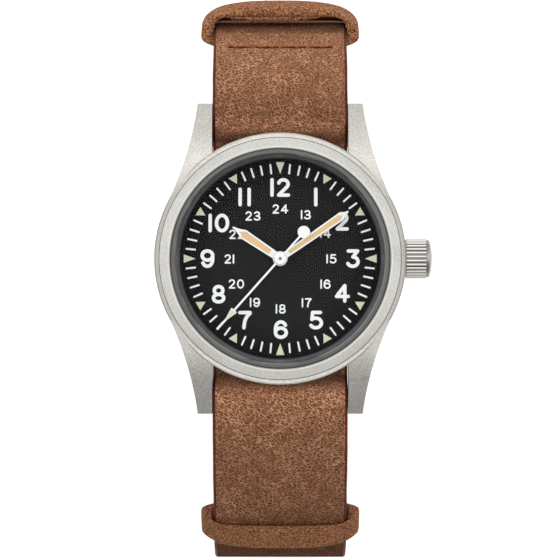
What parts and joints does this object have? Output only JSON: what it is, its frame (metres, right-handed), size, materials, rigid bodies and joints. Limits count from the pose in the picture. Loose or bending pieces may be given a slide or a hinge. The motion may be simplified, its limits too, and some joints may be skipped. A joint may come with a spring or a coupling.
{
  "type": "field watch",
  "caption": "Round matte steel wristwatch with a black dial, a side crown, a hand-wound movement and a pull-through leather strap closed at its pin buckle.",
  "frame": {"origin": "on the flat of the buckle's crossbar, in the resting plane, straight below the hand axis", "axes": "+Z out of the dial, +Y towards twelve o'clock, +X towards the crown"},
  "size_m": [0.042, 0.0871, 0.0565],
  "materials": {
    "case_steel": "bead blasted, matte",
    "bright_steel": "turned and polished",
    "buckle_steel": "satin",
    "crystal": "clear sapphire",
    "rubber": "matte",
    "dial_black": "matte black",
    "hand_white": "satin white",
    "lume_tan": "matte",
    "lume_pale": "matte",
    "holder": "matte",
    "rhodium": "plated brass, grained",
    "brass": "satin",
    "blued_steel": "heat-blued",
    "ruby": "polished",
    "strap_leather": "pebbled grain",
    "ring_leather": "suede-like",
    "thread": "waxed thread"
  },
  "bodies": {
    "case": {"case_middle": "case_steel", "bezel": "case_steel", "crystal": "crystal", "crystal_gasket": "rubber", "dial_flange": "dial_black", "dial": "dial_black", "movement_ring": "holder", "case_back": "case_steel", "case_back_gasket": "rubber", "case_tube": "bright_steel", "spring_bar_upper": "bright_steel", "spring_bar_lower": "bright_steel", "main_plate": "rhodium", "barrel_bridge": "rhodium", "train_bridge": "rhodium", "balance_cock": "rhodium", "pallet_bridge": "rhodium", "jewels": "ruby", "movement_screws": "blued_steel", "hairspring": "blued_steel", "main_strap": "strap_leather", "under_strap": "strap_leather", "upper_ring": "ring_leather", "lower_ring": "ring_leather", "buckle_keeper": "ring_leather", "stitching": "thread", "buckle_bar": "buckle_steel"},
    "pin_upper_right": {"bar_pin_upper_right": "bright_steel"},
    "pin_upper_left": {"bar_pin_upper_left": "bright_steel"},
    "pin_lower_right": {"bar_pin_lower_right": "bright_steel"},
    "pin_lower_left": {"bar_pin_lower_left": "bright_steel"},
    "crown_seal": {"crown_gasket": "rubber"},
    "crown_and_stem": {"crown": "case_steel", "winding_stem": "bright_steel"},
    "winding_pinion": {"winding_pinion": "bright_steel"},
    "clutch": {"clutch_wheel": "bright_steel"},
    "crown_wheel": {"crown_wheel": "bright_steel"},
    "ratchet": {"ratchet_wheel": "bright_steel", "barrel_arbor": "bright_steel"},
    "click": {"click": "bright_steel"},
    "minute_hand": {"minute_hand": "hand_white", "minute_hand_lume": "lume_tan", "cannon_pinion": "bright_steel"},
    "hour_hand": {"hour_hand": "hand_white", "hour_hand_lume": "lume_tan", "hour_wheel": "brass"},
    "minute_wheel": {"minute_wheel": "brass"},
    "seconds_hand": {"seconds_hand": "hand_white", "seconds_hand_lume": "lume_pale", "fourth_wheel": "brass"},
    "third_wheel": {"third_wheel": "brass"},
    "centre_wheel": {"centre_wheel": "brass"},
    "barrel": {"barrel_drum": "brass", "mainspring": "blued_steel"},
    "escape_wheel": {"escape_wheel": "brass"},
    "pallet_fork": {"pallet_fork": "bright_steel"},
    "balance": {"balance_wheel": "brass"},
    "buckle_frame": {"buckle_frame": "buckle_steel"},
    "buckle_tongue": {"buckle_tongue": "buckle_steel"}
  },
  "joints": [
    {"name": "bar_pin_upper_right_press", "type": "slide", "parent": "case", "child": "pin_upper_right", "axis": [-1, 0, 0], "range_m": [0, 0.00105], "stiffness_N_per_m": 200, "springref_m": -0.001},
    {"name": "bar_pin_upper_left_press", "type": "slide", "parent": "case", "child": "pin_upper_left", "axis": [1, 0, 0], "range_m": [0, 0.00105], "stiffness_N_per_m": 200, "springref_m": -0.001},
    {"name": "bar_pin_lower_right_press", "type": "slide", "parent": "case", "child": "pin_lower_right", "axis": [-1, 0, 0], "range_m": [0, 0.00105], "stiffness_N_per_m": 200, "springref_m": -0.001},
    {"name": "bar_pin_lower_left_press", "type": "slide", "parent": "case", "child": "pin_lower_left", "axis": [1, 0, 0], "range_m": [0, 0.00105], "stiffness_N_per_m": 200, "springref_m": -0.001},
    {"name": "crown_pull", "type": "slide", "parent": "case", "child": "crown_seal", "axis": [1, 0, 0], "range_m": [0, 0.0013]},
    {"name": "crown_turn", "type": "hinge", "parent": "crown_seal", "child": "crown_and_stem", "pos_m": [0, 0, 0.0502], "axis": [1, 0, 0], "continuous": true},
    {"name": "winding_pinion_turn", "type": "hinge", "parent": "case", "child": "winding_pinion", "pos_m": [0.011, 0, 0.0502], "axis": [1, 0, 0], "continuous": true},
    {"name": "clutch_turn", "type": "hinge", "parent": "case", "child": "clutch", "pos_m": [0.009, 0, 0.0502], "axis": [1, 0, 0], "continuous": true},
    {"name": "crown_wheel_turn", "type": "hinge", "parent": "case", "child": "crown_wheel", "pos_m": [0.00774, 0, 0.05], "axis": [0, 0, 1], "continuous": true},
    {"name": "ratchet_turn", "type": "hinge", "parent": "case", "child": "ratchet", "pos_m": [0.00287, 0.00498, 0.05], "axis": [0, 0, 1], "continuous": true},
    {"name": "click_swing", "type": "hinge", "parent": "case", "child": "click", "pos_m": [-0.00146, 0.00748, 0.05], "axis": [0, 0, 1], "range_deg": [0, 12]},
    {"name": "minute_hand_turn", "type": "hinge", "parent": "case", "child": "minute_hand", "pos_m": [0, 0, 0.05], "axis": [0, 0, -1], "continuous": true},
    {"name": "hour_hand_turn", "type": "hinge", "parent": "case", "child": "hour_hand", "pos_m": [0, 0, 0.05], "axis": [0, 0, -1], "continuous": true},
    {"name": "minute_wheel_turn", "type": "hinge", "parent": "case", "child": "minute_wheel", "pos_m": [0.00261, 0.00122, 0.05], "axis": [0, 0, -1], "continuous": true},
    {"name": "seconds_hand_turn", "type": "hinge", "parent": "case", "child": "seconds_hand", "pos_m": [0, 0, 0.05], "axis": [0, 0, -1], "continuous": true},
    {"name": "third_wheel_turn", "type": "hinge", "parent": "case", "child": "third_wheel", "pos_m": [-0.00322, -0.00225, 0.05], "axis": [0, 0, -1], "continuous": true},
    {"name": "centre_wheel_turn", "type": "hinge", "parent": "case", "child": "centre_wheel", "pos_m": [0, 0, 0.05], "axis": [0, 0, -1], "continuous": true},
    {"name": "barrel_turn", "type": "hinge", "parent": "case", "child": "barrel", "pos_m": [0.00287, 0.00498, 0.05], "axis": [0, 0, -1], "continuous": true},
    {"name": "escape_wheel_turn", "type": "hinge", "parent": "case", "child": "escape_wheel", "pos_m": [0.00102, -0.00383, 0.05], "axis": [0, 0, -1], "continuous": true},
    {"name": "pallet_fork_swing", "type": "hinge", "parent": "case", "child": "pallet_fork", "pos_m": [0.002, -0.00607, 0.05], "axis": [0, 0, -1], "range_deg": [-5.5, 5.5]},
    {"name": "balance_swing", "type": "hinge", "parent": "case", "child": "balance", "pos_m": [0.0029, -0.00815, 0.05], "axis": [0, 0, -1], "range_deg": [-270, 270]},
    {"name": "buckle_frame_swing", "type": "hinge", "parent": "case", "child": "buckle_frame", "pos_m": [0, 0.01239, 0.00574], "axis": [1, 0, 0], "range_deg": [0, 6]},
    {"name": "buckle_tongue_swing", "type": "hinge", "parent": "buckle_frame", "child": "buckle_tongue", "pos_m": [0, 0.01239, 0.00574], "axis": [1, 0, 0], "range_deg": [0, 10]}
  ],
  "couplings": [
    {"joint": "winding_pinion_turn", "follows": "crown_turn", "ratio": 1},
    {"joint": "clutch_turn", "follows": "crown_turn", "ratio": 1},
    {"joint": "crown_wheel_turn", "follows": "crown_turn", "ratio": 0.38095},
    {"joint": "ratchet_turn", "follows": "crown_turn", "ratio": -0.35556},
    {"joint": "hour_hand_turn", "follows": "minute_hand_turn", "ratio": 0.083333},
    {"joint": "minute_wheel_turn", "follows": "minute_hand_turn", "ratio": -0.33333},
    {"joint": "third_wheel_turn", "follows": "seconds_hand_turn", "ratio": -0.13333},
    {"joint": "centre_wheel_turn", "follows": "seconds_hand_turn", "ratio": 0.016667},
    {"joint": "barrel_turn", "follows": "seconds_hand_turn", "ratio": -0.0025},
    {"joint": "escape_wheel_turn", "follows": "seconds_hand_turn", "ratio": -10}
  ]
}
